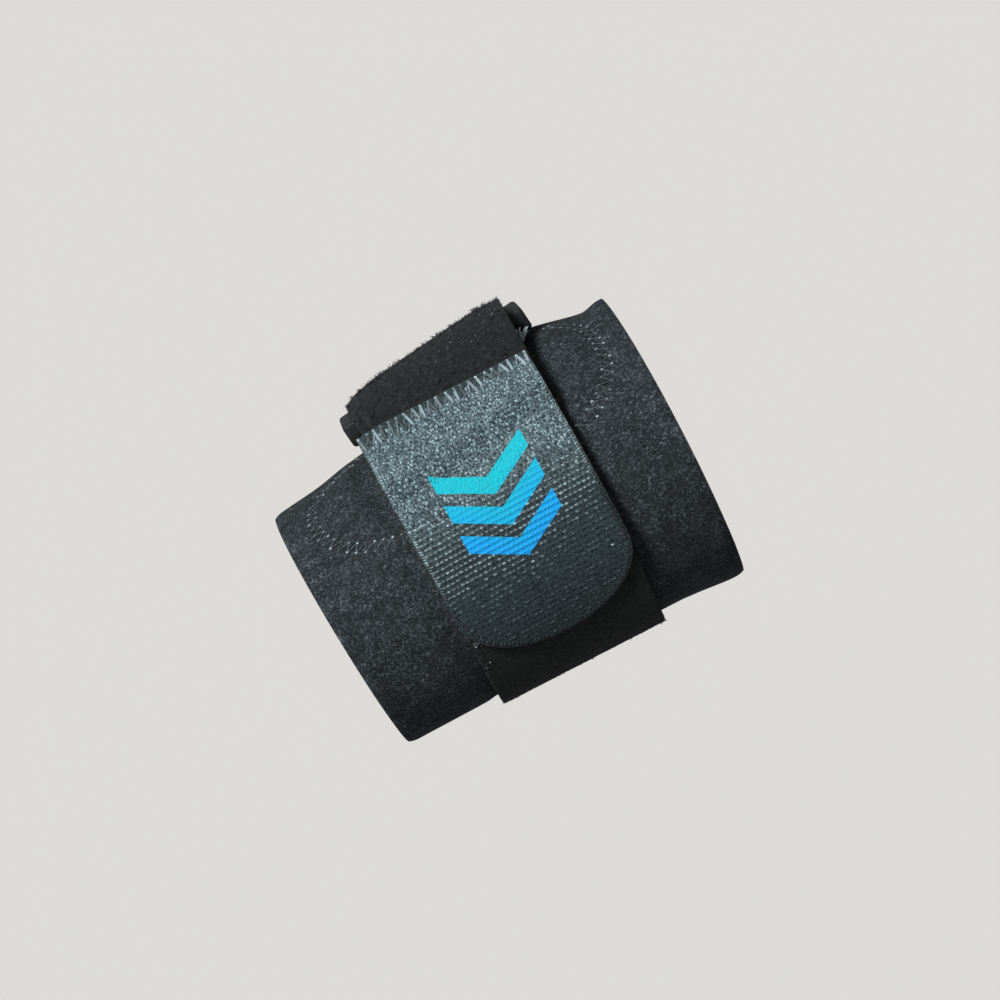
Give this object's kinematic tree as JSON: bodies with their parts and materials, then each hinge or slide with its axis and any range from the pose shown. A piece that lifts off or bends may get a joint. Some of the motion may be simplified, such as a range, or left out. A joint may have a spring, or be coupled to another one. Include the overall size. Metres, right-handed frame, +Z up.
{
  "type": "tennis elbow strap",
  "caption": "Forearm brace: a tapered foam rubber sleeve with an inner pressure pad and a pull strap that runs through a ring and back to a closing tab.",
  "frame": {"origin": "on the sleeve's axis, at the middle of the pull strap, inside the forearm that wears it", "axes": "+X along the forearm towards the elbow, +Z up, -Y the front, where the closing tab faces and looks up by 20 degrees"},
  "size_m": [0.103, 0.0887, 0.0977],
  "materials": {
    "sleeve_knit": "black jersey knit laminated to foam rubber",
    "pad_cover": "black jersey over a padded insert",
    "loop_pile": "matte black brushed loop pile",
    "ring_plastic": "moulded black plastic, satin",
    "webbing": "black woven webbing",
    "tab_weave": "grey-blue threads woven over black, with printed marks"
  },
  "bodies": {
    "root": {"sleeve": "sleeve_knit", "pressure_pad": "pad_cover", "strap": "loop_pile", "ring": "ring_plastic", "ring_loop": "webbing", "tab": "tab_weave"}
  },
  "joints": []
}
